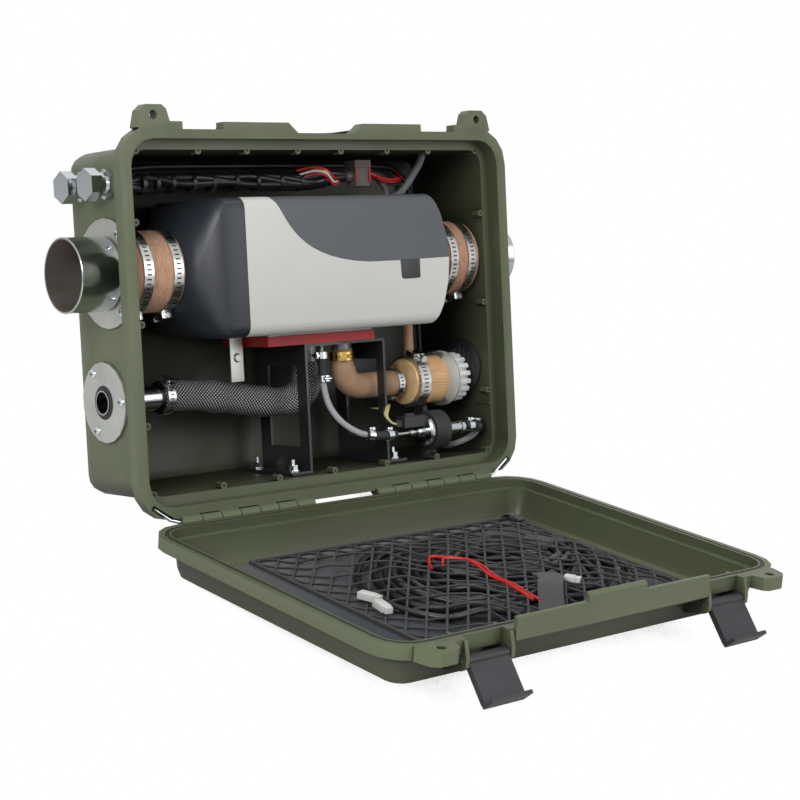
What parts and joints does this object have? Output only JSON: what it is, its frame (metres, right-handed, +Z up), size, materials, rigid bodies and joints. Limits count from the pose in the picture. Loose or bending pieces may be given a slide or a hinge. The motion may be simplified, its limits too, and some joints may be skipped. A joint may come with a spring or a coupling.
{
  "type": "portable diesel air heater",
  "caption": "Portable diesel air heater built into an open hard carry case: finned heater on a bracket with hoses, exhaust, filter, fuel pump and wall ports, and a hinged lid with a net.",
  "frame": {"origin": "centre of the bounding box at floor level, with the case standing open on the lid's edge and its two rear feet", "axes": "X along the lid hinge with the hot air outlet at -X, +Y from the open lid towards the case's back, +Z up"},
  "size_m": [0.5636, 0.6554, 0.4347],
  "materials": {
    "olive_plastic": "matte moulded plastic",
    "black_plastic": "satin moulded plastic",
    "charcoal_plastic": "satin moulded plastic",
    "white_plastic": "satin moulded plastic",
    "steel": "polished stainless steel",
    "chrome": "bright plated",
    "aluminium_plate": "satin",
    "cast_aluminium": "as cast",
    "black_steel": "black coated sheet steel",
    "black_rubber": "matte",
    "brown_hose": "matte hose with fine rings",
    "red_gasket": "matte silicone",
    "clear_plastic": "clear",
    "filter_paper": "pleated paper",
    "grey_hose": "translucent fuel tube",
    "circuit_board": "lacquered",
    "black_fabric": "woven"
  },
  "bodies": {
    "case": {"case_body": "olive_plastic", "intake_vent": "black_plastic", "hot_air_outlet_hood": "black_plastic", "cold_air_inlet_collar": "black_plastic", "pump_plug": "black_plastic", "fuse_holder": "black_plastic", "heater_upper_cover": "charcoal_plastic", "heater_lower_cover": "white_plastic", "hinge_rod_left": "steel", "hinge_rod_right": "steel", "hot_air_outlet_pipe": "steel", "cold_air_inlet_pipe": "steel", "hot_air_band_wall": "steel", "hot_air_band_heater": "steel", "cold_air_band_wall": "steel", "cold_air_band_heater": "steel", "exhaust_band": "steel", "intake_band": "steel", "filter_band": "steel", "fuel_pump": "steel", "exhaust_outlet_pipe": "chrome", "fuel_bulkhead_fitting": "chrome", "power_bulkhead_fitting": "chrome", "bracket_bolt_left_front": "chrome", "bracket_bolt_left_back": "chrome", "bracket_bolt_right_front": "chrome", "bracket_bolt_right_back": "chrome", "hot_air_outlet_flange": "aluminium_plate", "cold_air_inlet_flange": "aluminium_plate", "exhaust_flange_plate": "aluminium_plate", "heat_exchanger": "cast_aluminium", "blower_motor": "cast_aluminium", "heater_bracket": "black_steel", "exhaust_grommet": "black_rubber", "exhaust_sleeved_pipe": "black_rubber", "pump_rubber_mount": "black_rubber", "hot_air_hose": "brown_hose", "cold_air_hose": "brown_hose", "intake_elbow_hose": "brown_hose", "base_gasket": "red_gasket", "filter_canister": "clear_plastic", "filter_element": "filter_paper", "fuel_line_to_heater": "grey_hose", "fuel_line_from_tank": "grey_hose", "control_board": "circuit_board", "wiring_loom": "black_fabric"},
    "lid": {"case_lid": "olive_plastic", "lid_seal": "black_rubber", "latch_pin_left": "steel", "latch_pin_right": "steel", "lid_mat": "black_rubber", "cargo_net": "black_fabric", "control_lead_coil": "black_rubber"},
    "latch_l": {"latch_left": "black_plastic"},
    "latch_r": {"latch_right": "black_plastic"},
    "handle": {"carry_handle": "black_plastic"},
    "wheel": {"blower_wheel": "black_plastic"},
    "fuel_cap": {"fuel_bulkhead_cap": "chrome"},
    "power_cap": {"power_bulkhead_cap": "chrome"},
    "screw_cap": {"filter_cap": "white_plastic"}
  },
  "joints": [
    {"name": "lid_hinge", "type": "hinge", "parent": "case", "child": "lid", "pos_m": [0, 0.10064, 0.04308], "axis": [-1, 0, 0], "range_deg": [0, 100.4]},
    {"name": "latch_left_hinge", "type": "hinge", "parent": "lid", "child": "latch_l", "pos_m": [-0.152, -0.28903, 0.05376], "axis": [-1, 0, 0], "range_deg": [0, 140]},
    {"name": "latch_right_hinge", "type": "hinge", "parent": "lid", "child": "latch_r", "pos_m": [0.152, -0.28903, 0.05376], "axis": [-1, 0, 0], "range_deg": [0, 140]},
    {"name": "handle_hinge", "type": "hinge", "parent": "case", "child": "handle", "pos_m": [0, 0.22628, 0.40028], "axis": [1, 0, 0], "range_deg": [0, 100]},
    {"name": "blower_spin", "type": "hinge", "parent": "case", "child": "wheel", "pos_m": [0.15, 0.22367, 0.26417], "axis": [1, 0, 0], "continuous": true},
    {"name": "fuel_cap_turn", "type": "hinge", "parent": "case", "child": "fuel_cap", "pos_m": [-0.25, 0.27975, 0.33875], "axis": [1, 0, 0], "continuous": true},
    {"name": "power_cap_turn", "type": "hinge", "parent": "case", "child": "power_cap", "pos_m": [-0.25, 0.2353, 0.35058], "axis": [1, 0, 0], "continuous": true},
    {"name": "filter_cap_turn", "type": "hinge", "parent": "case", "child": "screw_cap", "pos_m": [0.205, 0.187, 0.13423], "axis": [1, 0, 0], "continuous": true}
  ]
}
